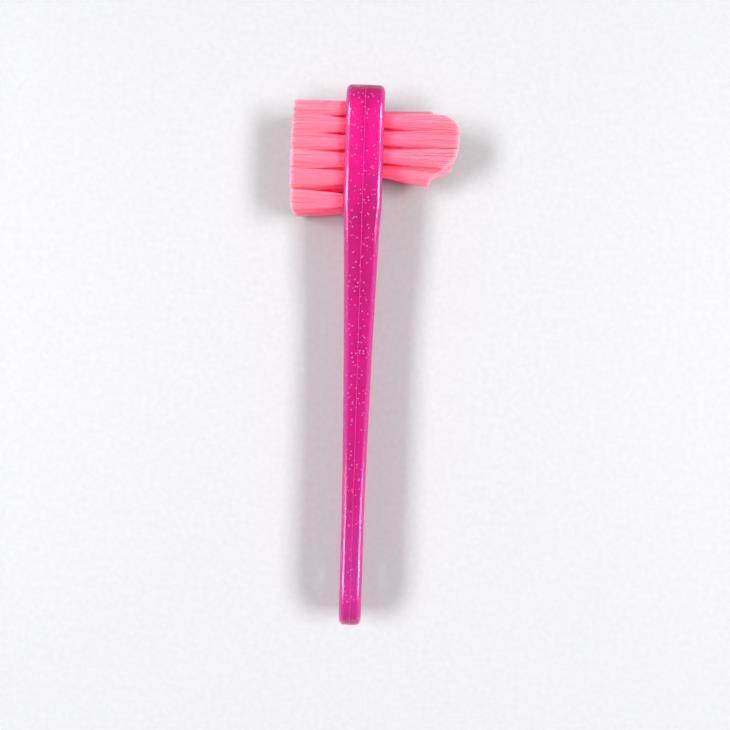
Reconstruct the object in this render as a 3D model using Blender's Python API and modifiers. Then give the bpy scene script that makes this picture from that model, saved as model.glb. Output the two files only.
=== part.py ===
# Two-sided retainer cleaning brush, lying on its narrow edge as it was photographed.
# A one-piece moulded handle carries two fields of bristles, back to back on its head. Each
# tuft is a bundle folded over a flat metal anchor, which is driven into a blind hole.
# Metres, +Z up. X is the direction of the bristles: the flat-trimmed field points to -X
# and the pointed field to +X. Y runs along the handle, with the head at +Y.
# The origin is under the middle of the whole brush, on the plane that it rests on.

import math

import bmesh
import bpy
from mathutils import Matrix, Vector

PART_NAME = "retainer_cleaning_brush"
CUTTER_NAME = "cutters"

# Tufts: the same holes, pitch and anchors on both faces of the head
TUFT_PITCH = 0.0032
FLAT_FROM_END = 0.00455  # first row to the head's end
LAST_ROW_EXTRA = 0.0010  # the last flat row stands off by this much more than the pitch
POINTED_FROM_END = 0.0052
LAST_TUFT_EXTRA = 0.0004  # and so does the last pointed tuft
TUFT_HOLE_RADIUS = 0.00125
TUFT_HOLE_DEPTH = 0.0031
HOLE_WEB = 0.0008  # plastic left between two holes that lie back to back
TUFT_CLEARANCE = 0.0001
ROOT_PROUD = 0.0001  # how far the packed root stands out of its hole
ROOT_MARGIN = 0.00004  # rim of the packed root outside its strands
FOLD_THICKNESS = 0.0004  # the folded strands under the anchor
TIP_GAP = 0.00008  # half of the gap left between the tips of two neighbours
TRIM_RAGGED = 0.00016

# Heights of the two trims above the head's faces
FLAT_HEIGHT = 0.00955
POINTED_HEIGHT = 0.0139

# Anchor: a strip of flat wire that bites into the wall on both sides of its hole
ANCHOR_HEIGHT = 0.0014
ANCHOR_THICKNESS = 0.00028
ANCHOR_BITE = 0.00025
ANCHOR_CLEARANCE = 0.00005
ANCHOR_TURN = math.radians(30)  # keeps the cuts of two neighbours off one line

# Handle, seen on its broad face
HANDLE_LENGTH = 0.1000
HEAD_SIDE_MARGIN = 0.0033  # outer column of holes to the head's edge
HEAD_CORNER_RADIUS = 0.0045
HEAD_SIDE_LENGTH = 0.0300  # stretch with the head's full width, from the head's end
NECK_WIDTH = 0.0113
NECK_FROM_END = 0.0420
TAIL_WIDTH = 0.0125

# Handle, seen on its narrow edge
HEAD_PAD_MARGIN = 0.0014  # last flat-field row to the start of the taper
NAPE_THICKNESS = 0.0066
NAPE_FROM_END = 0.0255
SHOULDER_THICKNESS = 0.0059
SHOULDER_FROM_END = 0.0360
GRIP_THICKNESS = 0.00487
GRIP_FROM_END = 0.0560
TAIL_THICKNESS = 0.00405
TAIL_PAD_LENGTH = 0.0170
EDGE_FILLET = 0.00095

# Hang hole through the tail
HANG_HOLE_DIAMETER = 0.0050
HANG_HOLE_FROM_TAIL = 0.0074
HANG_HOLE_RIM = 0.0005

CUT_OVERRUN = 0.0010
MERGE_DISTANCE = 0.000001

# Counts
TAIL_ARC_STEPS = 9
HEAD_ARC_STEPS = 6
TAPER_STEPS = 15
FILLET_SEGMENTS = 3
HOLE_SIDES = 14
ROOT_SIDES = 12
STRAND_SIDES = 4
RIM_STEPS = 3
HANG_HOLE_STEPS = 28
TRIM_PASSES = 4  # a strand's length and its place under the trim settle in these
STRAND_RINGS = (4, 10)

# Columns of tufts in each row, counted in pitches from the middle of the head. The flat
# field is a plain grid. The pointed field is a six-sided patch: its rows are half a pitch
# apart, and those of one tuft stand between those of two.
FLAT_COLUMNS = ((-1, 0, 1),) * 6
POINTED_COLUMNS = ((0,), (-1, 1), (0,), (-1, 1), (0,), (-1, 1), (0,))

# Shares
INNER_RING_SHARE = 0.42  # inner ring of strands, of the outer ring's radius
ROOT_FILL_SHARE = 0.64  # strand width at the root, of the space between two strands
TIP_FILL_SHARE = 0.56
FOLD_CHAMFER_SHARE = 0.30  # of the packed root's radius
LAST_TUFT_LEAN = math.radians(4.5)

# The two trims from the head's end towards the tail: share of the field, share of its height
FLAT_TRIM_SHARES = ((0.0, 1.0), (1.0, 1.0))
POINTED_TRIM_SHARES = (
    (0.0, 0.65),
    (0.06, 0.66),
    (0.125, 0.72),
    (0.17, 0.81),
    (0.23, 0.965),
    (0.27, 0.995),
    (0.40, 1.0),
    (0.60, 0.99),
    (0.71, 0.965),
    (0.82, 0.945),
    (0.87, 0.905),
    (0.94, 0.80),
    (0.99, 0.68),
    (1.0, 0.665),
)

# Sizes that follow from those above
HEAD_THICKNESS = 2 * TUFT_HOLE_DEPTH + HOLE_WEB
HEAD_WIDTH = 2 * TUFT_PITCH + 2 * HEAD_SIDE_MARGIN
FLAT_ROW_PLACES = [row * TUFT_PITCH for row in range(len(FLAT_COLUMNS))]
FLAT_ROW_PLACES[-1] += LAST_ROW_EXTRA
POINTED_ROW_PLACES = [row * TUFT_PITCH / 2 for row in range(len(POINTED_COLUMNS))]
POINTED_ROW_PLACES[-1] += LAST_TUFT_EXTRA
HEAD_PAD_LENGTH = FLAT_FROM_END + FLAT_ROW_PLACES[-1] + HEAD_PAD_MARGIN
ROOT_RADIUS = TUFT_HOLE_RADIUS - TUFT_CLEARANCE
ROOT_DEPTH = TUFT_HOLE_DEPTH - TUFT_CLEARANCE
TIP_RADIUS = TUFT_PITCH / 2 - TIP_GAP
ANCHOR_LENGTH = 2 * (TUFT_HOLE_RADIUS + ANCHOR_BITE)
ANCHOR_BOTTOM = FOLD_THICKNESS + ANCHOR_CLEARANCE - ROOT_DEPTH  # height over the face
ANCHOR_TOP = ANCHOR_BOTTOM + ANCHOR_HEIGHT

FLAT_FIELD = {
    "name": "flat",
    "side": -1,
    "first_row": HANDLE_LENGTH - FLAT_FROM_END,
    "row_places": FLAT_ROW_PLACES,
    "columns": FLAT_COLUMNS,
    "last_lean": 0,
    "height": FLAT_HEIGHT,
    "trim_shares": FLAT_TRIM_SHARES,
}
POINTED_FIELD = {
    "name": "pointed",
    "side": 1,
    "first_row": HANDLE_LENGTH - POINTED_FROM_END,
    "row_places": POINTED_ROW_PLACES,
    "columns": POINTED_COLUMNS,
    "last_lean": LAST_TUFT_LEAN,
    "height": POINTED_HEIGHT,
    "trim_shares": POINTED_TRIM_SHARES,
}

GOLDEN_ANGLE = math.pi * (3 - math.sqrt(5))


def clear_scene():
    for obj in list(bpy.data.objects):
        bpy.data.objects.remove(obj, do_unlink=True)
    for name in (PART_NAME, CUTTER_NAME):
        old = bpy.data.collections.get(name)
        if old is not None:
            bpy.data.collections.remove(old)


def new_collection(name):
    collection = bpy.data.collections.new(name)
    bpy.context.scene.collection.children.link(collection)
    return collection


def new_material(name, color, roughness, metallic=0.0, transmission=0.0):
    material = bpy.data.materials.new(name)
    material.use_nodes = True
    shader = material.node_tree.nodes["Principled BSDF"]
    shader.inputs["Base Color"].default_value = (*color, 1.0)
    shader.inputs["Roughness"].default_value = roughness
    shader.inputs["Metallic"].default_value = metallic
    shader.inputs["Transmission Weight"].default_value = transmission
    material.diffuse_color = (*color, 1.0)
    return material


def new_object(name, bm, collection, parent, material=None):
    mesh = bpy.data.meshes.new(name)
    bm.to_mesh(mesh)
    bm.free()
    obj = bpy.data.objects.new(name, mesh)
    collection.objects.link(obj)
    obj.parent = parent
    if material is not None:
        mesh.materials.append(material)
        mesh.shade_smooth()
        mesh.set_sharp_from_angle(angle=math.radians(35))
    return obj


def as_cutter(obj):
    obj.display_type = "WIRE"
    obj.hide_render = True
    return obj


def cut_with(obj, cutter, name, joins_itself=False):
    cut = obj.modifiers.new(name, "BOOLEAN")
    cut.operation = "DIFFERENCE"
    cut.solver = "EXACT"
    cut.use_self = joins_itself
    cut.object = cutter


def straight_between(points, place):
    # Straight lines through the (place, value) points, level beyond both ends.
    if place <= points[0][0]:
        return points[0][1]
    for (x0, y0), (x1, y1) in zip(points, points[1:]):
        if place <= x1:
            return y0 + (y1 - y0) * (place - x0) / (x1 - x0)
    return points[-1][1]


def smooth_between(points, place):
    # One smooth curve through the (place, value) points that never overshoots them.
    if place <= points[0][0]:
        return points[0][1]
    if place >= points[-1][0]:
        return points[-1][1]
    slopes = [(b[1] - a[1]) / (b[0] - a[0]) for a, b in zip(points, points[1:])]
    tangents = [0.0]
    for before, after in zip(slopes, slopes[1:]):
        same_way = before * after > 0
        tangents.append(2 * before * after / (before + after) if same_way else 0.0)
    tangents.append(0.0)
    for i, (a, b) in enumerate(zip(points, points[1:])):
        if place <= b[0]:
            step = b[0] - a[0]
            t = (place - a[0]) / step
            value = a[1] * (2 * t**3 - 3 * t**2 + 1) + b[1] * (3 * t**2 - 2 * t**3)
            value += tangents[i] * step * (t**3 - 2 * t**2 + t)
            value += tangents[i + 1] * step * (t**3 - t**2)
            return value


def thickness_at(place):
    # Thickness of the handle, place being the distance from the tail's end.
    return smooth_between(
        (
            (TAIL_PAD_LENGTH, TAIL_THICKNESS),
            (HANDLE_LENGTH - GRIP_FROM_END, GRIP_THICKNESS),
            (HANDLE_LENGTH - SHOULDER_FROM_END, SHOULDER_THICKNESS),
            (HANDLE_LENGTH - NAPE_FROM_END, NAPE_THICKNESS),
            (HANDLE_LENGTH - HEAD_PAD_LENGTH, HEAD_THICKNESS),
        ),
        place,
    )


def width_at(place):
    return smooth_between(
        (
            (TAIL_PAD_LENGTH, TAIL_WIDTH),
            (HANDLE_LENGTH - NECK_FROM_END, NECK_WIDTH),
            (HANDLE_LENGTH - HEAD_SIDE_LENGTH, HEAD_WIDTH),
        ),
        place,
    )


def taper_places():
    # Where the handle is measured between its flat tail and its flat head.
    start = TAIL_PAD_LENGTH
    end = HANDLE_LENGTH - HEAD_PAD_LENGTH
    return [start + (end - start) * i / TAPER_STEPS for i in range(TAPER_STEPS + 1)]


def quarter_arc(center_y, center_z, radius, start_angle, steps):
    points = []
    for i in range(steps + 1):
        angle = start_angle - math.pi / 2 * i / steps
        points.append((center_y + radius * math.cos(angle), center_z + radius * math.sin(angle)))
    return points


def upper_outline():
    # One half of the broad face's outline, as (y, z) from the tail's end to the head's.
    tail_radius = TAIL_WIDTH / 2
    corner_y = HANDLE_LENGTH - HEAD_CORNER_RADIUS
    corner_z = HEAD_WIDTH / 2 - HEAD_CORNER_RADIUS
    points = quarter_arc(tail_radius, 0, tail_radius, math.pi, TAIL_ARC_STEPS)
    points += [(y, width_at(y) / 2) for y in taper_places()]
    points += quarter_arc(corner_y, corner_z, HEAD_CORNER_RADIUS, math.pi / 2, HEAD_ARC_STEPS)
    return points


def add_handle(parts, cutters, parent, seats, material):
    # The broad outline is split across at each measuring place, thickened towards +X, and
    # each half moved to the thickness that the handle has there.
    bm = bmesh.new()
    upper = upper_outline()
    upper_verts = [bm.verts.new((0, y, z)) for y, z in upper]
    lower_verts = [bm.verts.new((0, y, -z)) for y, z in reversed(upper[1:])]
    face = bm.faces.new(upper_verts + lower_verts)
    mirrored = dict(zip(upper_verts[1:], reversed(lower_verts)))
    for vert in upper_verts[TAIL_ARC_STEPS + 1 : TAIL_ARC_STEPS + 2 + TAPER_STEPS]:
        bmesh.ops.connect_verts(bm, verts=[vert, mirrored[vert]])
    first_side = list(bm.verts)
    grown = bmesh.ops.extrude_face_region(bm, geom=list(bm.faces), use_keep_orig=True)
    second_side = [item for item in grown["geom"] if isinstance(item, bmesh.types.BMVert)]
    for side, verts in ((-1, first_side), (1, second_side)):
        for vert in verts:
            vert.co.x = side * thickness_at(vert.co.y) / 2
    bmesh.ops.recalc_face_normals(bm, faces=bm.faces)
    handle = new_object("handle", bm, parts, parent, material)

    fillet = handle.modifiers.new("edge fillet", "BEVEL")
    fillet.width = EDGE_FILLET
    fillet.segments = FILLET_SEGMENTS
    fillet.limit_method = "ANGLE"
    fillet.angle_limit = math.radians(45)
    cut_with(handle, add_tuft_holes(cutters, parent, seats), "tuft holes")
    slits = add_anchor_boxes(
        "anchor_slits", cutters, parent, seats, ANCHOR_BOTTOM - ANCHOR_CLEARANCE, CUT_OVERRUN
    )
    cut_with(handle, slits, "anchor slits")
    cut_with(handle, add_hang_hole(cutters, parent), "hang hole")
    return handle


def tuft_seats():
    # Every tuft hole: its mouth on the head's face, and the way its bristles point.
    seats = []
    for field in (FLAT_FIELD, POINTED_FIELD):
        for row, (place, columns) in enumerate(zip(field["row_places"], field["columns"])):
            y = field["first_row"] - place
            last = place == field["row_places"][-1]
            for number, column in enumerate(columns):
                z = column * TUFT_PITCH
                seats.append(
                    {
                        "field": field,
                        "label": f"r{row + 1}_c{number + 1}",
                        "lean": field["last_lean"] if last else 0,
                        "location": Vector((field["side"] * HEAD_THICKNESS / 2, y, z)),
                        "rotation": (0, field["side"] * math.pi / 2, 0),
                        "number": len(seats),
                    }
                )
    return seats


def seat_matrix(seat):
    turned = Matrix.Rotation(seat["rotation"][1], 4, "Y")
    return Matrix.Translation(seat["location"]) @ turned


def add_tuft_holes(cutters, parent, seats):
    bm = bmesh.new()
    length = TUFT_HOLE_DEPTH + CUT_OVERRUN
    for seat in seats:
        middle = Matrix.Translation((0, 0, CUT_OVERRUN - length / 2))
        bmesh.ops.create_cone(
            bm,
            cap_ends=True,
            segments=HOLE_SIDES,
            radius1=TUFT_HOLE_RADIUS,
            radius2=TUFT_HOLE_RADIUS,
            depth=length,
            matrix=seat_matrix(seat) @ middle,
        )
    return as_cutter(new_object("tuft_holes", bm, cutters, parent))


def box_matrix(seat_from, bottom, top, length, thickness):
    # A unit cube turned and stretched to a strip that stands across a tuft hole.
    middle = Matrix.Translation((0, 0, (bottom + top) / 2))
    size = Matrix.Diagonal((length, thickness, top - bottom, 1))
    return seat_from @ middle @ Matrix.Rotation(ANCHOR_TURN, 4, "Z") @ size


def add_anchor_boxes(name, cutters, parent, seats, bottom, top):
    # The room that each anchor takes, with its clearance.
    bm = bmesh.new()
    length = ANCHOR_LENGTH + 2 * ANCHOR_CLEARANCE
    thickness = ANCHOR_THICKNESS + 2 * ANCHOR_CLEARANCE
    for seat in seats:
        matrix = box_matrix(seat_matrix(seat), bottom, top, length, thickness)
        bmesh.ops.create_cube(bm, size=1, matrix=matrix)
    return as_cutter(new_object(name, bm, cutters, parent))


def add_hang_hole(cutters, parent):
    # A turned spool: a straight bore that opens in a rounded rim at both faces.
    bore = HANG_HOLE_DIAMETER / 2
    mouth = bore + HANG_HOLE_RIM
    face = TAIL_THICKNESS / 2
    upper = [(0, face + CUT_OVERRUN), (mouth, face + CUT_OVERRUN)]
    for i in range(RIM_STEPS + 1):
        angle = math.pi / 2 * i / RIM_STEPS
        radius = mouth - HANG_HOLE_RIM * math.sin(angle)
        upper.append((radius, face - HANG_HOLE_RIM * (1 - math.cos(angle))))
    profile = upper + [(radius, -height) for radius, height in reversed(upper)]
    bm = bmesh.new()
    verts = [bm.verts.new((radius, 0, height)) for radius, height in profile]
    for a, b in zip(verts, verts[1:]):
        bm.edges.new((a, b))
    hole = as_cutter(new_object("hang_hole", bm, cutters, parent))
    hole.location = (0, HANG_HOLE_FROM_TAIL, 0)
    hole.rotation_euler = (0, math.pi / 2, 0)
    turning = hole.modifiers.new("turned", "SCREW")
    turning.axis = "Z"
    turning.steps = HANG_HOLE_STEPS
    turning.render_steps = HANG_HOLE_STEPS
    turning.use_merge_vertices = True
    turning.merge_threshold = MERGE_DISTANCE
    return hole


def strand_places(outer_radius, fill_share):
    # Centres of the strands in rings round the bundle's middle, and the width of a strand.
    # The rings are as large as fits inside outer_radius with the strands' corners.
    reach = fill_share * math.sin(math.pi / STRAND_RINGS[-1])
    ring_radius = outer_radius / math.hypot(1 + reach, reach)
    radii = (INNER_RING_SHARE * ring_radius, ring_radius)
    places = []
    for radius, count in zip(radii, STRAND_RINGS):
        for i in range(count):
            angle = 2 * math.pi * i / count
            places.append((radius * math.cos(angle), radius * math.sin(angle), angle))
    return places, 2 * reach * ring_radius


def trim_height(field, y):
    start = field["first_row"] + TIP_RADIUS
    span = field["row_places"][-1] + 2 * TIP_RADIUS
    return field["height"] * straight_between(field["trim_shares"], (start - y) / span)


def strand_tip(seat, root, fan, ragged):
    # Where a strand that starts at root meets the trim, following its fan and lean.
    field = seat["field"]
    height = field["height"]
    for _ in range(TRIM_PASSES):
        tip_y = seat["location"].y + root.y + fan.y * (height - root.z)
        height = trim_height(field, tip_y)
    height -= ragged
    return root + fan * (height - root.z)


def add_strand(bm, root, tip, root_width, tip_width, turn):
    along = tip - root
    tilt = Vector((0, 0, 1)).rotation_difference(along).to_matrix().to_4x4()
    corner = 1 / math.sqrt(2)
    bmesh.ops.create_cone(
        bm,
        cap_ends=True,
        segments=STRAND_SIDES,
        radius1=root_width * corner,
        radius2=tip_width * corner,
        depth=along.length,
        matrix=Matrix.Translation((root + tip) / 2)
        @ tilt
        @ Matrix.Rotation(turn + math.pi / STRAND_SIDES, 4, "Z"),
    )


def add_packed_root(bm):
    # The packed bundle in its hole. The folds at its foot are rounded off by a chamfer.
    chamfer = FOLD_CHAMFER_SHARE * ROOT_RADIUS
    stretches = (
        (-ROOT_DEPTH, ROOT_RADIUS - chamfer),
        (chamfer - ROOT_DEPTH, ROOT_RADIUS),
        (ROOT_PROUD, ROOT_RADIUS),
    )
    rings = []
    for height, radius in stretches:
        ring = []
        for i in range(ROOT_SIDES):
            angle = 2 * math.pi * i / ROOT_SIDES
            ring.append(bm.verts.new((radius * math.cos(angle), radius * math.sin(angle), height)))
        rings.append(ring)
    for low, high in zip(rings, rings[1:]):
        for i in range(ROOT_SIDES):
            j = (i + 1) % ROOT_SIDES
            bm.faces.new((low[i], low[j], high[j], high[i]))
    bm.faces.new(reversed(rings[0]))
    bm.faces.new(rings[-1])


def add_tuft(seat, parts, parent, eyes, material):
    # A packed root with its strands fanning out of it. The cut for the anchor's eye also
    # joins the strands to the root.
    bm = bmesh.new()
    add_packed_root(bm)
    inner_radius = ROOT_RADIUS * math.cos(math.pi / ROOT_SIDES) - ROOT_MARGIN
    roots, root_width = strand_places(inner_radius, ROOT_FILL_SHARE)
    tips, tip_width = strand_places(TIP_RADIUS, TIP_FILL_SHARE)
    height = seat["field"]["height"]
    turn = seat["number"] * GOLDEN_ANGLE
    lean = Vector((0, -math.tan(seat["lean"]), 0))
    turning = Matrix.Rotation(turn, 3, "Z")
    for i, (root_place, tip_place) in enumerate(zip(roots, tips)):
        root = turning @ Vector((root_place[0], root_place[1], 0))
        wide = turning @ Vector((tip_place[0], tip_place[1], 0))
        fan = (wide - root) / height + lean + Vector((0, 0, 1))
        ragged = TRIM_RAGGED * (1 + math.sin(turn + i * GOLDEN_ANGLE)) / 2
        tip = strand_tip(seat, root, fan, ragged)
        foot = root - fan * (FOLD_THICKNESS / 2)
        share = (tip - root).length / (wide - root + Vector((0, 0, height))).length
        width = root_width + (tip_width - root_width) * share
        add_strand(bm, foot, tip, root_width, width, turn + root_place[2])
    name = f"{seat['field']['name']}_tuft_{seat['label']}"
    tuft = new_object(name, bm, parts, parent, material)
    tuft.location = seat["location"]
    tuft.rotation_euler = seat["rotation"]
    cut_with(tuft, eyes, "anchor eye", joins_itself=True)
    return tuft


def add_anchor(seat, parts, parent, material):
    bm = bmesh.new()
    matrix = box_matrix(
        Matrix.Identity(4), ANCHOR_BOTTOM, ANCHOR_TOP, ANCHOR_LENGTH, ANCHOR_THICKNESS
    )
    bmesh.ops.create_cube(bm, size=1, matrix=matrix)
    name = f"{seat['field']['name']}_anchor_{seat['label']}"
    anchor = new_object(name, bm, parts, parent, material)
    anchor.location = seat["location"]
    anchor.rotation_euler = seat["rotation"]
    return anchor


def add_datum(parts):
    # The handle's tail end, on its centre plane, from which every piece is measured.
    datum = bpy.data.objects.new("brush_datum", None)
    parts.objects.link(datum)
    reach_left = HEAD_THICKNESS / 2 + FLAT_HEIGHT
    reach_right = HEAD_THICKNESS / 2 + POINTED_HEIGHT
    datum.location = ((reach_left - reach_right) / 2, -HANDLE_LENGTH / 2, HEAD_WIDTH / 2)
    datum.empty_display_size = TAIL_WIDTH
    return datum


def build_brush():
    clear_scene()
    parts = new_collection(PART_NAME)
    cutters = new_collection(CUTTER_NAME)
    datum = add_datum(parts)
    plastic = new_material("glitter_plastic", (0.72, 0.01, 0.27), 0.12, transmission=0.6)
    nylon = new_material("bristle_nylon", (0.95, 0.20, 0.30), 0.45)
    brass = new_material("anchor_brass", (0.80, 0.62, 0.30), 0.30, metallic=1.0)

    seats = tuft_seats()
    add_handle(parts, cutters, datum, seats, plastic)
    eyes = add_anchor_boxes(
        "anchor_eyes",
        cutters,
        datum,
        seats,
        ANCHOR_BOTTOM - ANCHOR_CLEARANCE,
        ANCHOR_TOP + ANCHOR_CLEARANCE,
    )
    for seat in seats:
        add_tuft(seat, parts, datum, eyes, nylon)
        add_anchor(seat, parts, datum, brass)
    bpy.context.view_layer.update()
    print(f"{len(seats)} tufts, {len(seats) * sum(STRAND_RINGS)} strands")


build_brush()
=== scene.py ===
# Looks of the two-sided retainer brush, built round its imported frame.
# Shapes are drawn in millimetres from the middle of the tail's end: x towards the pointed
# bristles, y towards the head, z across the width. handlePlace puts them in the frame.

import math

import bmesh
import bpy
import numpy as np
from mathutils import Matrix, Vector


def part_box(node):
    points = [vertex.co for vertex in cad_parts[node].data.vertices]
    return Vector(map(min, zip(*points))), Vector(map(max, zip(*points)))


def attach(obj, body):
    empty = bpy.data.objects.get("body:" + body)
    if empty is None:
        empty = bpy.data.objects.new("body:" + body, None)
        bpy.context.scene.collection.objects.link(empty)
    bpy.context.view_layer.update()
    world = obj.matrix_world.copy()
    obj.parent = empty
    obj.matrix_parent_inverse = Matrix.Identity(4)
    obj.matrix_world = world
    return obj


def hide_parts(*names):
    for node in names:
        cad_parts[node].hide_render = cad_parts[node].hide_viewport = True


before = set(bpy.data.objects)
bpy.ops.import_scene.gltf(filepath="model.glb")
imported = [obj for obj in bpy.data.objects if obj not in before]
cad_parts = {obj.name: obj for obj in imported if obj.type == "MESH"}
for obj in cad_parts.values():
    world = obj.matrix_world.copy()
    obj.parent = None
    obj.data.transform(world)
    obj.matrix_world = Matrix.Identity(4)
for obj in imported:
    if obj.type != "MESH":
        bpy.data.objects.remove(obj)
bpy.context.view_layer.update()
print("frame loaded")

mm = 0.001
collection = bpy.context.scene.collection

# Where the handle lies: its middle plane, its tail's end and the middle of its width
handleLow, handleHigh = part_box("handle")
tailEnd = Vector((
    (handleLow.x + handleHigh.x) / 2,
    handleLow.y,
    (handleLow.z + handleHigh.z) / 2,
))
handlePlace = Matrix.Translation(tailEnd) @ Matrix.Scale(mm, 4)


# Node trees, for materials and for geometry

class Flow:
    # A socket's value. Sums and products of flows add Math nodes to their tree.
    def __init__(self, tree, socket):
        self.tree = tree
        self.socket = socket

    def math(self, operation, *values):
        return self.tree.add("ShaderNodeMath", {"operation": operation}, list(values))

    def __add__(self, other):
        return self.math("ADD", self, other)

    def __radd__(self, other):
        return self.math("ADD", other, self)

    def __sub__(self, other):
        return self.math("SUBTRACT", self, other)

    def __rsub__(self, other):
        return self.math("SUBTRACT", other, self)

    def __mul__(self, other):
        return self.math("MULTIPLY", self, other)

    def __rmul__(self, other):
        return self.math("MULTIPLY", other, self)

    def __truediv__(self, other):
        return self.math("DIVIDE", self, other)

    def __rtruediv__(self, other):
        return self.math("DIVIDE", other, self)

    def power(self, other):
        return self.math("POWER", self, other)

    def atLeast(self, other):
        return self.math("MAXIMUM", self, other)

    def atMost(self, other):
        return self.math("MINIMUM", self, other)

    def floor(self):
        return self.math("FLOOR", self)

    def root(self):
        return self.math("SQRT", self)

    def sine(self):
        return self.math("SINE", self)

    def cosine(self):
        return self.math("COSINE", self)

    def sign(self):
        return self.math("SIGN", self)

    def size(self):
        return self.math("ABSOLUTE", self)


class Tree:
    # Wraps a node tree. add() makes any node: settings first, then its sockets. The methods
    # after setCurve() only name what they ask of add().
    def __init__(self, nodeTree):
        self.nodeTree = nodeTree

    def add(self, kind, settings=None, sockets=None, out=0):
        node = self.nodeTree.nodes.new(kind)
        for name, value in (settings or {}).items():
            if name == "stops":
                self.setStops(node.color_ramp, value)
            elif name == "curve":
                self.setCurve(node.mapping, value)
            else:
                setattr(node, name, value)
        named = sockets or {}
        pairs = named.items() if isinstance(named, dict) else enumerate(named)
        for name, value in pairs:
            self.feed(node.inputs[name], value)
        return Flow(self, node.outputs[out]) if node.outputs else None

    def feed(self, socket, value):
        if isinstance(value, Flow):
            self.nodeTree.links.new(value.socket, socket)
        else:
            socket.default_value = value

    def setStops(self, ramp, stops):
        while len(ramp.elements) > 1:
            ramp.elements.remove(ramp.elements[-1])
        ramp.elements[0].position = stops[0][0]
        ramp.elements[0].color = stops[0][1]
        for place, color in stops[1:]:
            ramp.elements.new(place).color = color

    def setCurve(self, mapping, points):
        curve = mapping.curves[0]
        curve.points[0].location = points[0]
        curve.points[-1].location = points[-1]
        for point in points[1:-1]:
            curve.points.new(*point)
        for point in curve.points:
            point.handle_type = "VECTOR"
        mapping.update()

    def noise(self, where, scale, detail):
        sockets = {"Vector": where, "Scale": scale, "Detail": detail}
        return self.add("ShaderNodeTexNoise", {}, sockets)

    def attribute(self, name):
        return self.add("ShaderNodeAttribute", {"attribute_name": name}, out="Fac")

    def ramp(self, stops, value):
        return self.add("ShaderNodeValToRGB", {"stops": stops}, {"Fac": value})

    def mix(self, factor, first, second, blend="MIX"):
        # A Mix node's colours are its sockets 6 and 7, and its output 2.
        settings = {"data_type": "RGBA", "blend_type": blend}
        return self.add("ShaderNodeMix", settings, {"Factor": factor, 6: first, 7: second}, out=2)

    def random(self, low, high, seed, number=None):
        # One value for every point or instance, or for every number where numbers are given.
        # A Random Value node's single numbers are its sockets 2 and 3, and its output 1.
        sockets = {2: low, 3: high, "Seed": seed}
        if number is not None:
            sockets["ID"] = number
        return self.add("FunctionNodeRandomValue", {"data_type": "FLOAT"}, sockets, out=1)


def color(red, green, blue):
    return (red, green, blue, 1.0)


def newMaterial(name, settings):
    # A Principled material. settings are constants, set straight on its sockets.
    material = bpy.data.materials.new(name)
    material.use_nodes = True
    tree = Tree(material.node_tree)
    shader = material.node_tree.nodes["Principled BSDF"]
    for socketName, value in settings.items():
        shader.inputs[socketName].default_value = value
    return material, tree, shader


def newGeometryTree(name, counts, sizes):
    # A Geometry Nodes tree, with its named inputs as flows.
    kinds = {"Geometry": "Geometry"}
    kinds.update(dict.fromkeys(counts, "Int"))
    kinds.update(dict.fromkeys(sizes, "Float"))
    kinds.update({"Seed": "Int", "Material": "Material"})
    group = bpy.data.node_groups.new(name, "GeometryNodeTree")
    for inputName, kind in kinds.items():
        group.interface.new_socket(inputName, in_out="INPUT", socket_type="NodeSocket" + kind)
    group.interface.new_socket("Geometry", in_out="OUTPUT", socket_type="NodeSocketGeometry")
    tree = Tree(group)
    given = group.nodes.new("NodeGroupInput")
    ask = {socket.name: Flow(tree, socket) for socket in given.outputs if socket.name}
    return group, tree, ask


def finishGeometryTree(tree, ask, geometry):
    real = tree.add("GeometryNodeRealizeInstances", {}, [geometry])
    dressed = tree.add("GeometryNodeSetMaterial", {}, {
        "Geometry": real, "Material": ask["Material"],
    })
    tree.add("NodeGroupOutput", {}, {"Geometry": dressed})


# Meshes and pieces

def newPiece(name, mesh, material, sharpAngle=35):
    mesh.name = name
    if not mesh.materials:
        mesh.materials.append(material)
    mesh.shade_smooth()
    mesh.set_sharp_from_angle(angle=math.radians(sharpAngle))
    piece = bpy.data.objects.new(name, mesh)
    collection.objects.link(piece)
    return piece


def meshFrom(bm, name):
    mesh = bpy.data.meshes.new(name)
    bm.to_mesh(mesh)
    bm.free()
    return mesh


def bakedMesh(obj):
    # The object's mesh with its modifiers applied. The object itself is removed.
    bpy.context.view_layer.update()
    evaluated = obj.evaluated_get(bpy.context.evaluated_depsgraph_get())
    mesh = bpy.data.meshes.new_from_object(evaluated)
    bpy.data.objects.remove(obj)
    return mesh


def grownMesh(group, mesh, values):
    # What a geometry tree makes of a mesh. Its inputs go by the sockets' identifiers.
    source = bpy.data.objects.new(mesh.name, mesh)
    collection.objects.link(source)
    modifier = source.modifiers.new(group.name, "NODES")
    modifier.node_group = group
    for item in group.interface.items_tree:
        if item.item_type == "SOCKET" and item.in_out == "INPUT" and item.name in values:
            modifier[item.identifier] = values[item.name]
    return bakedMesh(source)


def joinRings(bm, rings):
    for low, high in zip(rings, rings[1:]):
        for i in range(len(low)):
            j = (i + 1) % len(low)
            bm.faces.new((low[i], low[j], high[j], high[i]))


# The handle's plastic

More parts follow.
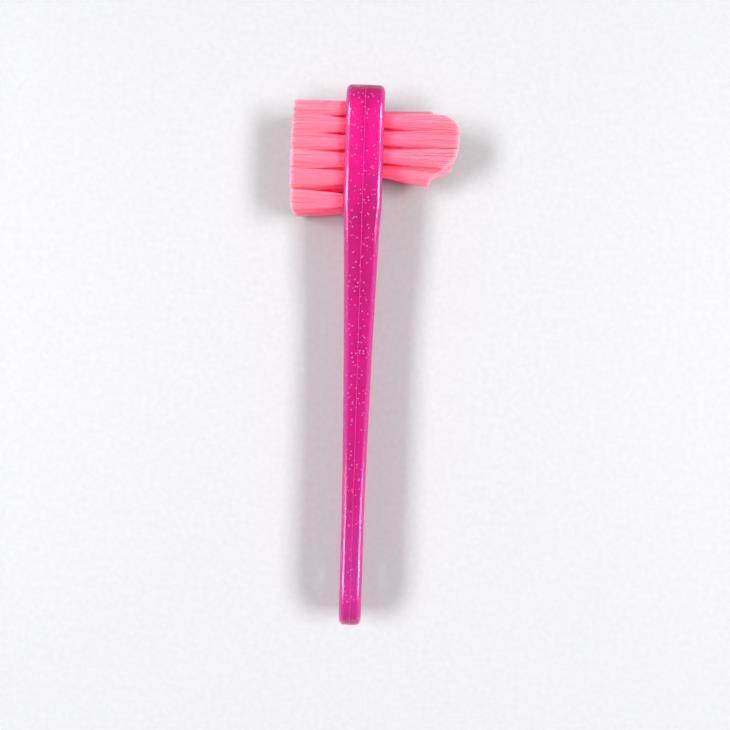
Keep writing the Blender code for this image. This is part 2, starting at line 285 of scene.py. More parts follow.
plastic = {
    # Tones along the handle, from its tail's end to its head's end. The darker last two stops are
    # painted shade on the head's rounded end.
    "tones": (
        (0.0, color(0.62, 0.015, 0.26)),
        (0.10, color(0.60, 0.030, 0.32)),
        (0.24, color(0.61, 0.004, 0.23)),
        (0.55, color(0.64, 0.002, 0.24)),
        (0.75, color(0.62, 0.001, 0.19)),
        (0.86, color(0.92, 0.001, 0.32)),
        (0.94, color(0.93, 0.001, 0.31)),
        (0.97, color(0.72, 0.001, 0.23)),
        (1.0, color(0.68, 0.004, 0.21)),
    ),
    "clear": 0.60,
    "ior": 1.49,
    "specular": 0.18,
    # Flow clouds, drawn out along the handle
    "cloudColor": color(0.74, 0.60, 0.70),
    "cloudStretch": (1.6, 0.5, 1.6),
    "cloudsPerMetre": 260.0,
    "cloudDetail": 3.0,
    "cloudStart": 0.3,
    "cloudStrength": 1.6,
    # Painted light: a paler colour on the rounded edges and the seam's crest, standing in for the
    # light that they refract
    "edgeLightColor": color(0.90, 0.075, 0.42),
    # Glitter right in the skin
    "speckColor": color(1.0, 0.30, 0.74),
    "specksPerMetre": 1450.0,
    "speckRadius": 0.20,
    "speckSharpness": 20,
    "speckMetal": 0.35,
    # Roughness from moulding and handling
    "polish": 0.06,
    "handling": 0.08,
    "handlingPerMetre": 900.0,
    "handlingDetail": 4.0,
    # Waves of the skin
    "wavesPerMetre": 420.0,
    "waveDetail": 2.0,
    "waveStrength": 0.12,
    "waveHeight": 0.0002,
}


def makePlasticMaterial():
    # Tinted clear plastic. Its tone changes along the handle, with painted shade on the head's
    # rounded end, and flow clouds run in it. A paler colour painted on its rounded edges and
    # seam's crest stands in for the light that they refract, and glitter right in its wavy skin
    # shows as pale specks.
    material, tree, shader = newMaterial("tintedPlastic", {
        "Transmission Weight": plastic["clear"],
        "IOR": plastic["ior"],
        "Specular IOR Level": plastic["specular"],
    })
    where = tree.add("ShaderNodeTexCoord", out="Object")
    drawn = tree.add("ShaderNodeVectorMath", {"operation": "MULTIPLY"}, [
        where, plastic["cloudStretch"],
    ])
    clouds = tree.noise(drawn, plastic["cloudsPerMetre"], plastic["cloudDetail"])
    placeY = tree.add("ShaderNodeSeparateXYZ", {}, [where], out=1)
    length = handleHigh.y - handleLow.y
    # The tone's darker last stops paint shade on the head's rounded end.
    tone = tree.ramp(plastic["tones"], (placeY - handleLow.y) / length)
    cloudy = (clouds - plastic["cloudStart"]) * plastic["cloudStrength"]
    tint = tree.mix(cloudy, tone, plastic["cloudColor"], "MULTIPLY")
    # Painted light: the rounded edges and the seam's crest are painted paler.
    edgeLit = tree.mix(tree.attribute("thin"), tint, plastic["edgeLightColor"])
    toSpeck = tree.add("ShaderNodeTexVoronoi", {}, {
        "Vector": where, "Scale": plastic["specksPerMetre"],
    })
    inSpeck = (plastic["speckRadius"] - toSpeck) * plastic["speckSharpness"]
    speck = inSpeck.atLeast(0).atMost(1)
    specked = tree.mix(speck, edgeLit, plastic["speckColor"])
    tree.feed(shader.inputs["Base Color"], specked)
    tree.feed(shader.inputs["Metallic"], speck * plastic["speckMetal"])
    handling = tree.noise(where, plastic["handlingPerMetre"], plastic["handlingDetail"])
    roughness = plastic["polish"] + handling * plastic["handling"]
    tree.feed(shader.inputs["Roughness"], roughness)
    relief = tree.add("ShaderNodeBump", {}, {
        "Strength": plastic["waveStrength"],
        "Distance": plastic["waveHeight"],
        "Height": tree.noise(where, plastic["wavesPerMetre"], plastic["waveDetail"]),
    })
    tree.feed(shader.inputs["Normal"], relief)
    return material


# The handle's shape

handle = {
    "length": 100.0,
    "headWidth": 13.0,
    "neckWidth": 11.3,
    "tailWidth": 12.5,
    "headCorner": 4.5,
    "widthStations": (17.0, 58.0, 70.0),
    "headThickness": 7.0,
    "napeThickness": 6.6,
    "shoulderThickness": 5.9,
    "gripThickness": 4.87,
    "tailThickness": 4.05,
    "thicknessStations": (17.0, 44.0, 64.0, 74.5, 77.05),
    "fillet": 0.95,
    "draft": 0.05,
    "seamWidth": 0.16,
    "seamHeight": 0.018,
    # How much painted edge light the seam and the narrow side get, from 0 to 1, and how far in
    # that fades
    "seamEdgeLight": 0.9,
    "sideEdgeLight": 0.13,
    "sideFade": 1.2,
    "filletSteps": 8,
    "tailArcSteps": 26,
    "sideSteps": 96,
    "headArcSteps": 18,
    # Tuft holes, with the slits that their anchors cut
    "holeRadius": 1.25,
    "holeDepth": 3.1,
    "holeSides": 40,
    "slitLength": 3.1,
    "slitThickness": 0.38,
    "slitDepth": 2.6,
    "slitTurn": 30.0,
    "hangHoleRadius": 2.5,
    "hangHolePlace": 7.4,
    "hangHoleRim": 0.5,
    "hangHoleSides": 96,
    "rimSteps": 8,
    # How far each cutter stands out of the plastic
    "cutterOverrun": 1.0,
    "sharpAngle": 28,
}


def smoothBetween(places, values, place):
    # One smooth curve through the values that never overshoots them.
    if place <= places[0]:
        return values[0]
    if place >= places[-1]:
        return values[-1]
    slopes = [
        (values[i + 1] - values[i]) / (places[i + 1] - places[i]) for i in range(len(places) - 1)
    ]
    tangents = [0.0]
    for before, after in zip(slopes, slopes[1:]):
        tangents.append(2 * before * after / (before + after) if before * after > 0 else 0.0)
    tangents.append(0.0)
    i = next(i for i in range(len(slopes)) if place <= places[i + 1])
    step = places[i + 1] - places[i]
    t = (place - places[i]) / step
    value = values[i] * (2 * t**3 - 3 * t**2 + 1) + values[i + 1] * (3 * t**2 - 2 * t**3)
    value += tangents[i] * step * (t**3 - 2 * t**2 + t)
    value += tangents[i + 1] * step * (t**3 - t**2)
    return value


def widthAt(y):
    widths = (handle["tailWidth"], handle["neckWidth"], handle["headWidth"])
    return smoothBetween(handle["widthStations"], widths, y)


def thicknessAt(y):
    places = ("tail", "grip", "shoulder", "nape", "head")
    thicknesses = [handle[place + "Thickness"] for place in places]
    return smoothBetween(handle["thicknessStations"], thicknesses, y)


def depthInOutline(y, z):
    # How far a place lies inside the broad outline.
    tailRadius = handle["tailWidth"] / 2
    corner = handle["headCorner"]
    pastCorner = y - (handle["length"] - corner)
    besideCorner = abs(z) - (handle["headWidth"] / 2 - corner)
    if y < tailRadius:
        return tailRadius - math.hypot(tailRadius - y, z)
    if pastCorner > 0 and besideCorner > 0:
        return corner - math.hypot(pastCorner, besideCorner)
    return min(handle["length"] - y, widthAt(y) / 2 - abs(z))


def paintedEdgeLightAt(point):
    # How much painted edge light a place gets: 1 in the middle of the rounded edges, fading along
    # the narrow side towards its middle, a little less than 1 on the seam's crest and 0 on the
    # faces.
    onCrest = abs(point.x) < handle["seamWidth"] / 8
    if onCrest:
        return handle["seamEdgeLight"]
    fillet = handle["fillet"]
    fromFace = fillet - (thicknessAt(point.y) / 2 - abs(point.x))
    fromSide = max(0.0, fillet - depthInOutline(point.y, point.z)) / fillet
    rounded = 2 * max(0.0, fromFace) / fillet * fromSide
    beside = handle["sideEdgeLight"] * fromSide * (1 + min(0.0, fromFace) / handle["sideFade"])
    return max(0.0, min(1.0, max(rounded, beside)))


def handleOutline():
    # Half of the broad outline, from the tail's end to the flat of the head's end, as
    # points (y, z) with their outward normals.
    tailRadius = handle["tailWidth"] / 2
    corner = handle["headCorner"]
    cornerY = handle["length"] - corner
    cornerZ = handle["headWidth"] / 2 - corner
    points = []
    for i in range(handle["tailArcSteps"] + 1):
        angle = math.pi / 2 * i / handle["tailArcSteps"]
        away = Vector((-math.cos(angle), math.sin(angle)))
        points.append((Vector((tailRadius, 0)) + away * tailRadius, away))
    step = 0.01
    for i in range(1, handle["sideSteps"]):
        y = tailRadius + (cornerY - tailRadius) * i / handle["sideSteps"]
        slope = (widthAt(y + step) - widthAt(y - step)) / (4 * step)
        points.append((Vector((y, widthAt(y) / 2)), Vector((-slope, 1)).normalized()))
    for i in range(handle["headArcSteps"] + 1):
        angle = math.pi / 2 * i / handle["headArcSteps"]
        away = Vector((math.sin(angle), math.cos(angle)))
        points.append((Vector((cornerY, cornerZ)) + away * corner, away))
    return points


def edgeLevels():
    # The edge's section from the middle plane to a face. Each level has its distance from
    # the middle plane, or else from the face, and its inset from the outline.
    fillet = handle["fillet"]
    levels = [(0.0, None, -handle["seamHeight"]), (handle["seamWidth"] / 2, None, 0.0)]
    for i in range(handle["filletSteps"] + 1):
        angle = math.pi / 2 * i / handle["filletSteps"]
        fromFace = fillet * (1 - math.sin(angle))
        levels.append((None, fromFace, handle["draft"] + fillet * (1 - math.cos(angle))))
    return levels


def handleBlank():
    # Rings of the outline from one face to the other, and strips across both faces.
    half = handleOutline()
    mirrored = [(Vector((p.x, -p.y)), Vector((n.x, -n.y))) for p, n in reversed(half[1:])]
    levels = edgeLevels()
    sections = [(-1, level) for level in reversed(levels[1:])] + [(1, level) for level in levels]
    bm = bmesh.new()
    rings = []
    for side, (fromMiddle, fromFace, inset) in sections:
        ring = []
        for point, away in half + mirrored:
            x = fromMiddle if fromFace is None else thicknessAt(point.x) / 2 - fromFace
            place = point - away * inset
            ring.append(bm.verts.new((side * x, place.x, place.y)))
        rings.append(ring)
    joinRings(bm, rings)
    for ring in (rings[0], rings[-1]):
        bm.faces.new((ring[0], ring[1], ring[-1]))
        for i in range(1, len(half) - 1):
            bm.faces.new((ring[i], ring[i + 1], ring[-1 - i], ring[-i]))
    bmesh.ops.recalc_face_normals(bm, faces=bm.faces)
    return bm


def tuftSeats():
    # Every tuft's node, its mouth on the head's face and the side that it points to.
    seats = []
    for side, field, faceX in ((-1, "flat", handleLow.x), (1, "pointed", handleHigh.x)):
        for name in sorted(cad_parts):
            if name.startswith(field + "_anchor"):
                low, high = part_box(name)
                middle = (low + high) / 2
                seats.append({
                    "field": field,
                    "side": side,
                    "label": name.split("anchor_")[1],
                    "mouth": handlePlace.inverted() @ Vector((faceX, middle.y, middle.z)),
                    "number": len(seats),
                })
    return seats


def seatMatrix(seat):
    turned = Matrix.Rotation(seat["side"] * math.pi / 2, 4, "Y")
    return Matrix.Translation(seat["mouth"]) @ turned


def tuftHoleCutters(seats):
    # A round plug for every tuft hole, and a bar across each of them for the anchor's slits.
    overrun = handle["cutterOverrun"]
    plugLength = handle["holeDepth"] + overrun
    plugPlace = Matrix.Translation((0, 0, overrun - plugLength / 2))
    barHeight = handle["slitDepth"] + overrun
    barPlace = Matrix.Translation((0, 0, overrun - barHeight / 2))
    barTurn = Matrix.Rotation(math.radians(handle["slitTurn"]), 4, "Z")
    barSize = Matrix.Diagonal((handle["slitLength"], handle["slitThickness"], barHeight, 1))
    plugs = bmesh.new()
    bars = bmesh.new()
    for seat in seats:
        bmesh.ops.create_cone(
            plugs, cap_ends=True, segments=handle["holeSides"], radius1=handle["holeRadius"],
            radius2=handle["holeRadius"], depth=plugLength, matrix=seatMatrix(seat) @ plugPlace,
        )
        barMatrix = seatMatrix(seat) @ barPlace @ barTurn @ barSize
        bmesh.ops.create_cube(bars, size=1, matrix=barMatrix)
    return plugs, bars


def hangHoleCutter():
    # A plug through the tail. It widens towards both faces, which rounds the hole's rims.
    face = handle["tailThickness"] / 2
    rim = handle["hangHoleRim"]
    bore = handle["hangHoleRadius"]
    sides = handle["hangHoleSides"]
    profile = [(bore + rim, face + handle["cutterOverrun"])]
    for i in range(handle["rimSteps"] + 1):
        angle = math.pi / 2 * i / handle["rimSteps"]
        profile.append((bore + rim - rim * math.sin(angle), face - rim * (1 - math.cos(angle))))
    profile += [(radius, -x) for radius, x in reversed(profile)]
    bm = bmesh.new()
    rings = []
    for radius, x in profile:
        ring = []
        for i in range(sides):
            angle = 2 * math.pi * i / sides
            y = handle["hangHolePlace"] + radius * math.cos(angle)
            ring.append(bm.verts.new((x, y, radius * math.sin(angle))))
        rings.append(ring)
    joinRings(bm, rings)
    bm.faces.new(rings[0])
    bm.faces.new(rings[-1])
    bmesh.ops.recalc_face_normals(bm, faces=bm.faces)
    return bm


def makeHandle(material, seats):
    blank = bpy.data.objects.new("handleBlank", meshFrom(handleBlank(), "handleBlank"))
    collection.objects.link(blank)
    plugs, bars = tuftHoleCutters(seats)
    cutters = []
    for name, bm in (("holes", plugs), ("slits", bars), ("hangHole", hangHoleCutter())):
        cutter = bpy.data.objects.new(name, meshFrom(bm, name))
        collection.objects.link(cutter)
        cut = blank.modifiers.new(name, "BOOLEAN")
        cut.operation = "DIFFERENCE"
        cut.solver = "EXACT"
        cut.object = cutter
        cutters.append(cutter)
    mesh = bakedMesh(blank)
    for cutter in cutters:
        bpy.data.objects.remove(cutter)
    # Painted edge light for every point, which the plastic's material paints paler.
    thin = mesh.attributes.new("thin", "FLOAT", "POINT")
    thin.data.foreach_set("value", [paintedEdgeLightAt(vertex.co) for vertex in mesh.vertices])
    mesh.transform(handlePlace)
    piece = newPiece("glossyHandle", mesh, material, handle["sharpAngle"])
    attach(piece, "root")
    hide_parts("handle")
    print("handle:", len(mesh.polygons), "faces")


# Glitter inside the plastic

glitter = {
    "count": 2600,
    "smallest": 0.05,
    "largest": 0.15,
    "thickness": 0.012,
    "sides": 6,
    "seed": 7,
    # Share of the flakes that lies right under the narrow edges, and how deep they go
    "nearSkin": 0.45,
    "layer": 0.25,
    # How far the middle of any flake stays from the surface
    "skin": 0.17,
    # A flake's own tone runs from pink to silvery white, and makes it more metallic
    "tones": (
        (0.0, color(1.0, 0.50, 0.80)),
        (0.45, color(1.0, 0.72, 0.92)),
        (1.0, color(1.0, 0.96, 1.0)),
    ),
    "metal": 0.25,
    "metalRange": 0.3,
    "roughness": 0.5,
}


def makeGlitterMaterial():
    # Metallised flakes, each with a tone of its own.
    material, tree, shader = newMaterial("glitterFlake", {"Roughness": glitter["roughness"]})
    tone = tree.attribute("tone")
    tree.feed(shader.inputs["Base Color"], tree.ramp(glitter["tones"], tone))
    tree.feed(shader.inputs["Metallic"], glitter["metal"] + tone * glitter["metalRange"])
    return material


def insideHandle(x, y, z, seats):
    # True if a flake there lies in plastic, clear of the skin and of every hole.
    skin = glitter["skin"]
    toFace = thicknessAt(y) / 2 - abs(x)
    toSide = depthInOutline(y, z)
    if min(toFace, toSide) < skin:
        return False
    edge = handle["fillet"] + skin
    if toFace < edge and toSide < edge:
        if math.hypot(edge - toFace, edge - toSide) > handle["fillet"]:
            return False
    hangHoleReach = handle["hangHoleRadius"] + handle["hangHoleRim"]
    if math.hypot(y - handle["hangHolePlace"], z) < hangHoleReach:
        return False
    reach = max(handle["holeRadius"], handle["slitLength"] / 2) + skin
    for seat in seats:
        mouth = seat["mouth"]
        depth = (mouth.x - x) * seat["side"]
        if depth < handle["holeDepth"] + skin and math.hypot(y - mouth.y, z - mouth.z) < reach:
            return False
    return True


def glitterPoints(seats):
    # The first flakes lie close under the narrow edges, the others anywhere in the plastic.
    random = np.random.default_rng(glitter["seed"])
    low = np.array((-handle["headThickness"] / 2, 0.0, -handle["headWidth"] / 2))
    high = np.array((handle["headThickness"] / 2, handle["length"], handle["headWidth"] / 2))
    nearSkin = glitter["nearSkin"] * glitter["count"]
    points = []
    while len(points) < glitter["count"]:
        x, y, z = random.uniform(low, high)
        if len(points) < nearSkin:
            under = glitter["skin"] + random.uniform(0, glitter["layer"])
            z = math.copysign(widthAt(y) / 2 - under, z)
        if insideHandle(x, y, z, seats):
            points.append((x, y, z))
    return points


def makeGlitterTree():
    # One thin flake on every point, turned at random and of its own size.
    sizes = ("Smallest", "Largest", "Thickness")
    group, tree, ask = newGeometryTree("flakesOnPoints", (), sizes)
    flake = tree.add("GeometryNodeMeshCylinder", {"fill_type": "NGON"}, {
        "Vertices": glitter["sides"], "Radius": 1.0, "Depth": 1.0,
    })
    turn = tree.add("FunctionNodeRandomValue", {"data_type": "FLOAT_VECTOR"}, {
        "Min": (0.0, 0.0, 0.0), "Max": (math.tau, math.tau, math.tau), "Seed": ask["Seed"],
    })
    size = tree.random(ask["Smallest"], ask["Largest"], ask["Seed"] + 1)
    stretch = tree.add("ShaderNodeCombineXYZ", {}, [size, size, ask["Thickness"]])
    rotation = tree.add("FunctionNodeEulerToRotation", {}, [turn])
    placed = tree.add("GeometryNodeInstanceOnPoints", {}, {
        "Points": ask["Geometry"], "Instance": flake, "Rotation": rotation, "Scale": stretch,
    })
    toned = tree.add("GeometryNodeStoreNamedAttribute", {
        "data_type": "FLOAT", "domain": "INSTANCE",
    }, {"Geometry": placed, "Name": "tone", "Value": tree.random(0.0, 1.0, ask["Seed"] + 2)})
    finishGeometryTree(tree, ask, toned)
    return group


def makeGlitter(material, seats):
    mesh = bpy.data.meshes.new("glitterPoints")
    mesh.from_pydata(glitterPoints(seats), [], [])
    flakes = grownMesh(makeGlitterTree(), mesh, {
        "Smallest": glitter["smallest"],
        "Largest": glitter["largest"],
        "Thickness": glitter["thickness"],
        "Seed": glitter["seed"],
        "Material": material,
    })
    flakes.transform(handlePlace)
    piece = newPiece("glitterInPlastic", flakes, material)
    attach(piece, "root")
    print("glitter:", len(flakes.polygons), "faces")


# The bristles' nylon

nylon = {
    # Colours and glow from the root to the cut tip. The deeper pink at the root is painted shade,
    # the paler tip a painted highlight.
    "tones": (
        (0.0, color(1.0, 0.12, 0.21)),
        (0.16, color(1.0, 0.15, 0.24)),
        (0.55, color(1.0, 0.18, 0.26)),
        (0.94, color(1.0, 0.21, 0.29)),
        (1.0, color(1.0, 0.40, 0.48)),
    ),
    "glow": (
        (0.0, color(0.05, 0.001, 0.010)),
        (0.18, color(0.16, 0.002, 0.026)),
        (1.0, color(0.02, 0.001, 0.003)),
    ),
    # How pale and how rough a bristle is: what all of them have, and what differs
    "paleColor": color(1.0, 0.86, 0.90),
    "pale": 0.6,
    "paleRange": 0.3,
    "roughness": 0.34,
    "roughnessRange": 0.14,
    "scatter": 0.8,
    "scatterColors": (1.0, 0.3, 0.4),
    "scatterReach": 0.0012,
    "ior": 1.53,
}


def makeBristleMaterial():
    # Coral dyed nylon, with painted shade deepening the pink towards the root and a painted
    # highlight paling the cut tip. The faint red emission is light passed on from bristle to
    # bristle more often than a render follows it, which fills the gaps between real tufts.
    material, tree, shader = newMaterial("dyedNylon", {
        "Emission Strength": 1.0,
        "Subsurface Weight": nylon["scatter"],
        "Subsurface Radius": nylon["scatterColors"],
        "Subsurface Scale": nylon["scatterReach"],
        "IOR": nylon["ior"],
    })
    along = tree.attribute("along")
    tone = tree.attribute("tone")
    # Painted shade deepens the pink near the root, and a painted highlight pales the cut tip.
    tint = tree.ramp(nylon["tones"], along)
    pale = nylon["pale"] + tone * nylon["paleRange"]
    paler = tree.mix(pale, tint, nylon["paleColor"], "MULTIPLY")
    tree.feed(shader.inputs["Base Color"], paler)
    roughness = nylon["roughness"] + tone * nylon["roughnessRange"]
    tree.feed(shader.inputs["Roughness"], roughness)
    tree.feed(shader.inputs["Emission Color"], tree.ramp(nylon["glow"], along))
    return material


# The tufts' shape

bristles = {
    "folded": 92,
    "thickness": 0.17,
    "sides": 5,
    "packedRadius": 1.15,
    "tipRadius": 1.66,
    "anchorGap": 0.28,
    "anchorDepth": 2.6,
    "foldDepth": 0.35,
    # Lengths of the flat field by its rows, from the first row at the head's end
    "flatLengths": (9.65, 9.75, 9.85, 9.95, 9.9, 9.65),
    "pointedLength": 13.9,
    # The pointed field's trim: places along the field and heights, as shares of the whole
    "pointedTrim": (
        (0.0, 0.65), (0.115, 0.66), (0.135, 0.74), (0.15, 0.81), (0.20, 0.905),
        (0.25, 0.965), (0.305, 0.99), (0.38, 1.0), (0.54, 0.99), (0.64, 0.965),
        (0.70, 0.935), (0.75, 0.88), (0.79, 0.82), (0.845, 0.75), (0.92, 0.66), (1.0, 0.635),
    ),
    # Degrees by which the tufts of a row lean towards the tail
    "leans": {
        ("flat", 1): 3.0, ("flat", 5): 2.4, ("flat", 6): 0.5,
        ("pointed", 1): 1.0, ("pointed", 2): 1.0, ("pointed", 6): 1.0, ("pointed", 7): 5.5,
    },
    # How early a tuft widens above its hole, and how square its section grows
    "spreading": 1.4,
    "squareness": 5.0,
    # How unevenly the bristles are cut, and how far they stray at their tips
    "ragged": 0.42,
    "straying": 0.12,
    # Step from one pointed row to the next, which is half the pitch
    "rowStep": 1.6,
    "pointedRows": 7,
    # The last pointed tuft stands apart, reaches further and is wider than the others
    "lastTuftExtra": 0.4,
    "lastTuftReach": 1.4,
    "lastTipRadius": 2.0,
    # Points along a filament, and how many points from its fold its anchor and mouth come
    "pointsPerBristle": 13,
    "anchorPoint": 2,
    "mouthPoint": 3,
    # How much closer its points stand near the mouth
    "pointCrowding": 1.6,
    # Share of a half turn from one filament to the next, which fills the half hole evenly
    "goldenTurn": 0.618034,
    "seedsPerTuft": 7,
}


def makeTuftTree():
    # Each bristle is one filament folded under the anchor, so both its ends stand out of
    # the hole. Its points run from one tip down, round the fold and up to the other tip.
    group, tree, ask = newGeometryTree("foldedTuft", ("Bristles",), (
        "Thickness", "Packed Radius", "Tip Radius", "Length", "Anchor Gap", "Anchor Depth",
        "Fold Depth", "Anchor Turn", "Ragged", "Straying", "Pointed", "Field Place",
        "Field Span", "Lean",
    ))
    steps = bristles["pointsPerBristle"]
    middle = (steps - 1) / 2
    mouth = bristles["mouthPoint"]
    anchor = bristles["anchorPoint"]
    index = tree.add("GeometryNodeInputIndex")
    bristle = (index / steps).floor()
    fromFold = index - bristle * steps - middle
    leg = fromFold.sign()
    away = fromFold.size()
    outside = ((away - mouth).atLeast(0) / (middle - mouth)).power(bristles["pointCrowding"])
    flare = 1 - (1 - outside).power(bristles["spreading"])
    inside = (mouth - away).atLeast(0).atMost(1)
    bend = (anchor - away).atLeast(0) * (math.pi / 2 / anchor)

    # Where the filament stands in its half of the hole
    packing = ((bristle + 0.5) / ask["Bristles"]).root() * ask["Packed Radius"]
    spiral = bristle * bristles["goldenTurn"]
    angle = (spiral - spiral.floor()) * math.pi
    across = packing * angle.sine()
    room = 1 - ask["Anchor Gap"] / ask["Packed Radius"]
    alongAnchor = packing * angle.cosine()
    offAnchor = ask["Anchor Gap"] + across * room
    offMiddle = across + (offAnchor - across) * inside

    # Its own small errors, one set for each leg
    legNumber = bristle * 2 + leg.atLeast(0)
    seed = ask["Seed"] * bristles["seedsPerTuft"]
    strayX = tree.random(-1.0, 1.0, seed, legNumber) * ask["Straying"]
    strayY = tree.random(-1.0, 1.0, seed + 1, legNumber) * ask["Straying"]
    uneven = tree.random(0.0, 1.0, seed + 3, legNumber)
    tone = tree.random(0.0, 1.0, seed + 4, legNumber)

    # Root and tip in the tuft's own plane, turned with the anchor. The tufts press against
    # each other towards their tips, which makes their round section nearly square.
    turnCos = ask["Anchor Turn"].cosine()
    turnSin = ask["Anchor Turn"].sine()
    side = offMiddle * leg * bend.cosine()
    rootX = alongAnchor * turnCos - side * turnSin
    rootY = alongAnchor * turnSin + side * turnCos
    square = bristles["squareness"]
    pressed = (rootX.size().power(square) + rootY.size().power(square)).power(1 / square)
    corner = (rootX * rootX + rootY * rootY).root() / pressed
    spread = corner * ask["Tip Radius"] / ask["Packed Radius"] - 1
    fanX = rootX * spread + strayX
    fanY = rootY * spread + strayY
    leanY = ask["Lean"] * ask["Length"]
    place = ask["Field Place"] - (rootY + fanY - leanY) / ask["Field Span"]
    trim = tree.add("ShaderNodeFloatCurve", {"curve": bristles["pointedTrim"]}, {
        "Value": place.atLeast(0).atMost(1),
    })
    height = ask["Length"] * (1 - ask["Pointed"] * (1 - trim)) - uneven * uneven * ask["Ragged"]
    reach = height / ask["Length"]
    depth = inside * ask["Anchor Depth"] + offAnchor * ask["Fold Depth"] * bend.sine()

    x = rootX + fanX * flare * reach
    y = rootY + (fanY * flare - leanY * outside) * reach
    z = outside * height - depth
    points = tree.add("GeometryNodePoints", {}, {
        "Count": ask["Bristles"] * steps,
        "Position": tree.add("ShaderNodeCombineXYZ", {}, [x, y, z]),
    })
    for name, value in (("along", outside), ("tone", tone)):
        points = tree.add("GeometryNodeStoreNamedAttribute", {"data_type": "FLOAT"}, {
            "Geometry": points, "Name": name, "Value": value,
        })
    curves = tree.add("GeometryNodePointsToCurves", {}, {
        "Points": points, "Curve Group ID": bristle, "Weight": index,
    })
    section = tree.add("GeometryNodeCurvePrimitiveCircle", {}, {
        "Resolution": bristles["sides"], "Radius": ask["Thickness"] / 2,
    })
    tubes = tree.add("GeometryNodeCurveToMesh", {}, {
        "Curve": curves, "Profile Curve": section, "Fill Caps": True,
    })
    finishGeometryTree(tree, ask, tubes)
    return group


def makeTufts(material, seats):
    group = makeTuftTree()
    tipRadius = bristles["tipRadius"]
    lastPlace = (bristles["pointedRows"] - 1) * bristles["rowStep"] + bristles["lastTuftExtra"]
    span = lastPlace + 2 * tipRadius + bristles["lastTuftReach"]
    faces = 0
    for seat in seats:
        pointed = seat["field"] == "pointed"
        row = int(seat["label"][1])
        last = pointed and row == bristles["pointedRows"]
        place = lastPlace if last else (row - 1) * bristles["rowStep"]
        lean = bristles["leans"].get((seat["field"], row), 0.0)
        mesh = grownMesh(group, bpy.data.meshes.new("tuft"), {
            "Bristles": bristles["folded"],
            "Thickness": bristles["thickness"],
            "Packed Radius": bristles["packedRadius"],
            "Tip Radius": bristles["lastTipRadius"] if last else tipRadius,
            "Length": bristles["pointedLength"] if pointed else bristles["flatLengths"][row - 1],
            "Anchor Gap": bristles["anchorGap"],
            "Anchor Depth": bristles["anchorDepth"],
            "Fold Depth": bristles["foldDepth"],
            "Anchor Turn": math.radians(handle["slitTurn"]),
            "Ragged": bristles["ragged"],
            "Straying": bristles["straying"],
            "Pointed": float(pointed),
            "Field Place": (tipRadius + place) / span,
            "Field Span": span,
            "Lean": math.tan(math.radians(lean)),
            "Seed": seat["number"] + 1,
            "Material": material,
        })
        mesh.transform(handlePlace @ seatMatrix(seat))
        piece = newPiece(seat["field"] + "Bristles_" + seat["label"], mesh, material)
        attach(piece, "root")
        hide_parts(seat["field"] + "_tuft_" + seat["label"])
        faces += len(mesh.polygons)
    print("bristles:", faces, "faces")


# Anchors, which keep the frame's own shapes

brass = {
    "darkColor": color(0.62, 0.44, 0.18),
    "brightColor": color(0.90, 0.74, 0.42),
    "linesPerMetre": 6000.0,
    "lineDetail": 3.0,
    "roughness": 0.22,
    "roughnessRange": 0.2,
}


def makeBrassMaterial():
    # Flat wire with the fine marks that drawing leaves on it.
    material, tree, shader = newMaterial("drawnBrass", {"Metallic": 1.0})
    where = tree.add("ShaderNodeTexCoord", out="Object")
    lines = tree.noise(where, brass["linesPerMetre"], brass["lineDetail"])
    tint = tree.mix(lines, brass["darkColor"], brass["brightColor"])
    tree.feed(shader.inputs["Base Color"], tint)
    roughness = brass["roughness"] + lines * brass["roughnessRange"]
    tree.feed(shader.inputs["Roughness"], roughness)
    return material


def dressAnchors(material):
    for name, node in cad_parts.items():
        if "_anchor_" in name:
            node.data.materials.clear()
            node.data.materials.append(material)
    print("anchors dressed")


# Floor, lights and camera

# Sizes are in metres, softPower is in watts and stripPower in watts for a square metre
studio = {
    "floorSize": 1.6,
    "darkGrain": color(0.36, 0.36, 0.37),
    "paleGrain": color(0.43, 0.43, 0.44),
    "grainPerMetre": 900.0,
    "grainDetail": 3.0,
    "floorRoughness": 0.55,
    "grainRoughness": 0.1,
    "floorSpecular": 0.3,
    "lampHeight": 0.62,
    "lampTilt": 38.0,
    "softLength": 0.40,
    "softWidth": 0.19,
    "softPower": 7.4,
    # Strip lamps, mirrored in the handle's rounded edges: middle and length along the brush,
    # and their share of the strips' power
    "strips": ((0.296, 0.03, 1.0), (0.182, 0.07, 0.9), (-0.190, 0.17, 0.4)),
    "stripWidth": 0.42,
    "stripPower": 150.0,
    "skyColor": color(0.98, 0.99, 1.0),
    "skyLight": 0.44,
}
# tailPixel is where the tail's end shows. The tilt is in degrees, distances are in metres.
photo = {
    "pixels": 730,
    "pixelsPerMm": 5.342,
    "tilt": 1.77,
    "tailPixel": (349.7, 623.5),
    "cameraHeight": 0.150,
    "nearestShown": 0.005,
}


def makeFloorMaterial():
    # Pale, with a fine grain.
    material, tree, shader = newMaterial("paleFloor", {
        "Specular IOR Level": studio["floorSpecular"],
    })
    where = tree.add("ShaderNodeTexCoord", out="Object")
    grain = tree.noise(where, studio["grainPerMetre"], studio["grainDetail"])
    tint = tree.mix(grain, studio["darkGrain"], studio["paleGrain"])
    tree.feed(shader.inputs["Base Color"], tint)
    roughness = studio["floorRoughness"] + grain * studio["grainRoughness"]
    tree.feed(shader.inputs["Roughness"], roughness)
    return material


def makeFloor(material):
    bm = bmesh.new()
    bmesh.ops.create_grid(bm, x_segments=1, y_segments=1, size=studio["floorSize"] / 2)
    floor = newPiece("floor", meshFrom(bm, "floor"), material)


def makeLamp(name, side, middle, width, length, power):
    light = bpy.data.lights.new(name, "AREA")
    light.shape = "RECTANGLE"
    light.size = width
    light.size_y = length
    light.energy = power
    lamp = bpy.data.objects.new(name, light)
    tilt = math.radians(studio["lampTilt"])
    height = studio["lampHeight"]
    lamp.location = (side * height * math.tan(tilt), middle, height)
    lamp.rotation_euler = (0, side * tilt, 0)
    collection.objects.link(lamp)
    return lamp


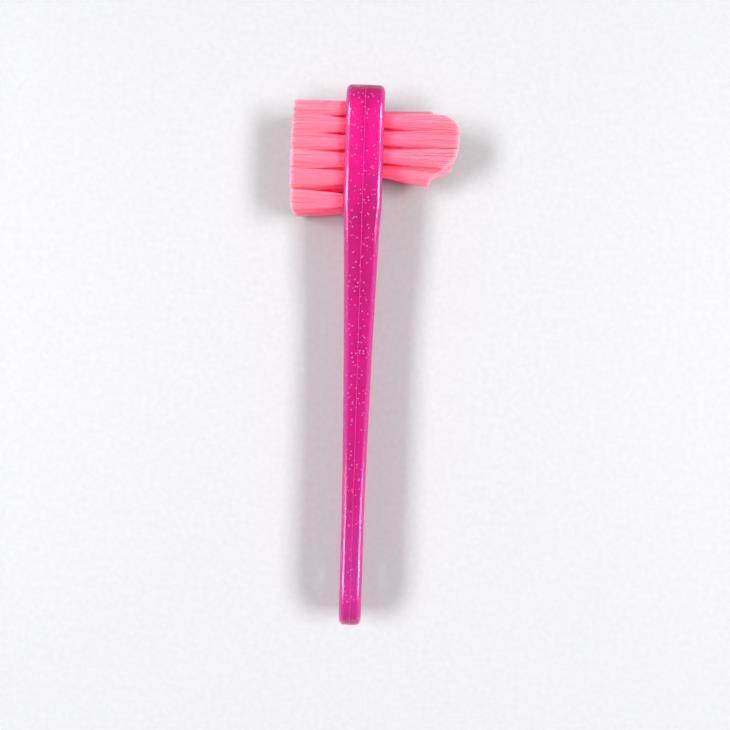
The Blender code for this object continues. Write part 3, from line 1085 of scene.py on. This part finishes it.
def makeLamps():
    # On each side a soft lamp for the light itself, which is neither mirrored nor seen through
    # the plastic, and strip lamps that only make highlights.
    for side in (-1, 1):
        soft = makeLamp(
            "softLamp", side, 0.0, studio["softWidth"], studio["softLength"], studio["softPower"],
        )
        soft.visible_glossy = False
        soft.visible_transmission = False
        for middle, length, share in studio["strips"]:
            width = studio["stripWidth"]
            power = studio["stripPower"] * share * width * length
            strip = makeLamp("stripLamp", side, middle, width, length, power)
            strip.visible_diffuse = False


def makeSky():
    world = bpy.data.worlds.new("studio")
    world.use_nodes = True
    sky = world.node_tree.nodes["Background"]
    sky.inputs["Color"].default_value = studio["skyColor"]
    sky.inputs["Strength"].default_value = studio["skyLight"]
    bpy.context.scene.world = world


def makeCamera():
    # Straight down over the pixel in the middle of the photo. Pixels and height are measured
    # on the level of the handle's middle, where its two ends show.
    tilt = math.radians(photo["tilt"])
    right = photo["pixels"] / 2 - photo["tailPixel"][0]
    up = photo["tailPixel"][1] - photo["pixels"] / 2
    x = (right * math.cos(tilt) - up * math.sin(tilt)) / photo["pixelsPerMm"]
    y = (up * math.cos(tilt) + right * math.sin(tilt)) / photo["pixelsPerMm"]
    over = handlePlace @ Vector((x, y, 0))
    frameWidth = photo["pixels"] / photo["pixelsPerMm"] * mm
    camera = bpy.data.objects.new("camera", bpy.data.cameras.new("camera"))
    collection.objects.link(camera)
    camera.location = over + Vector((0, 0, photo["cameraHeight"]))
    camera.rotation_euler = (0, 0, tilt)
    camera.data.sensor_fit = "HORIZONTAL"
    camera.data.angle = 2 * math.atan(frameWidth / 2 / photo["cameraHeight"])
    camera.data.clip_start = photo["nearestShown"]
    bpy.context.scene.camera = camera


bpy.context.scene.view_settings.view_transform = "Standard"
makeCamera()
seats = tuftSeats()
makeHandle(makePlasticMaterial(), seats)
makeGlitter(makeGlitterMaterial(), seats)
makeTufts(makeBristleMaterial(), seats)
dressAnchors(makeBrassMaterial())
makeFloor(makeFloorMaterial())
makeLamps()
makeSky()
print("scene built")
